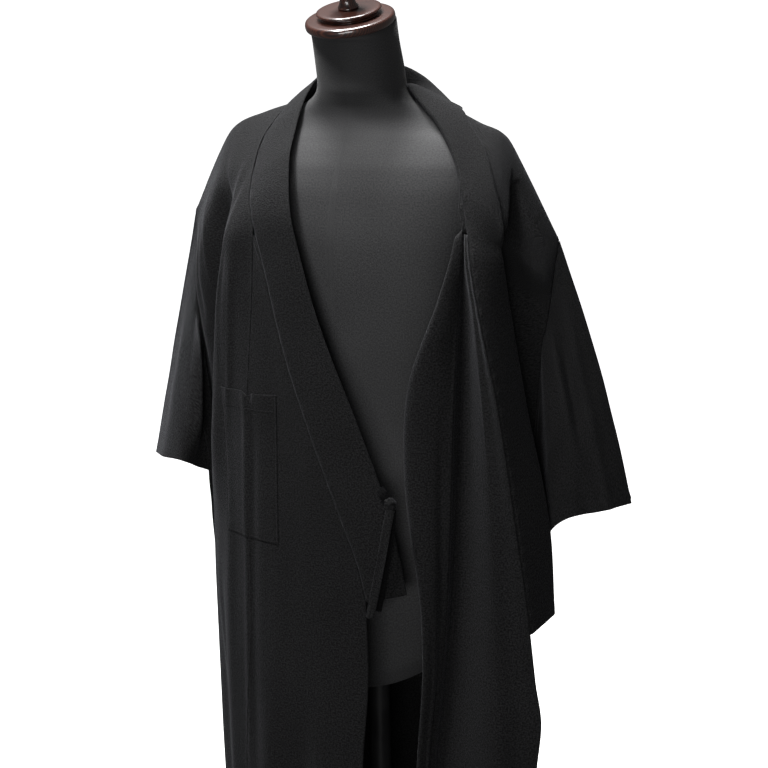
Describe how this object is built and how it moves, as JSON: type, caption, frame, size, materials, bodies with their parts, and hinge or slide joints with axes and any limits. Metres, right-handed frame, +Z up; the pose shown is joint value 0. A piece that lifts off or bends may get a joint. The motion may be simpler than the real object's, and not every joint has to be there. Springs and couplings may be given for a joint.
{
  "type": "yukata on dress form",
  "caption": "Men's unlined black yukata worn open on a limbless dress form, left front flipped open, with patch pocket, tie, pole and round base.",
  "frame": {"origin": "centre of the base's flat underside, on the pole's axis; the floor is z = 0", "axes": "+Z up along the pole, -Y is the way the wearer faces, +X is the wearer's left"},
  "size_m": [0.6836, 0.3203, 1.6258],
  "materials": {
    "cloth": "matte black fine crepe weave",
    "form_cover": "dark grey fine knit stretched over the form",
    "wood": "dark red-brown lacquered wood",
    "stand_metal": "black satin paint"
  },
  "bodies": {
    "root": {"body_right": "cloth", "body_left": "cloth", "okumi_right": "cloth", "okumi_left": "cloth", "collar_right": "cloth", "collar_left": "cloth", "sleeve_right": "cloth", "sleeve_left": "cloth", "pocket": "cloth", "tie_bar": "cloth", "tie_knot": "cloth", "tie_tail_front": "cloth", "tie_tail_back": "cloth", "form_torso": "form_cover", "cap_disc": "wood", "cap_tier": "wood", "cap_knob": "wood", "pole": "stand_metal", "base": "stand_metal"}
  },
  "joints": []
}
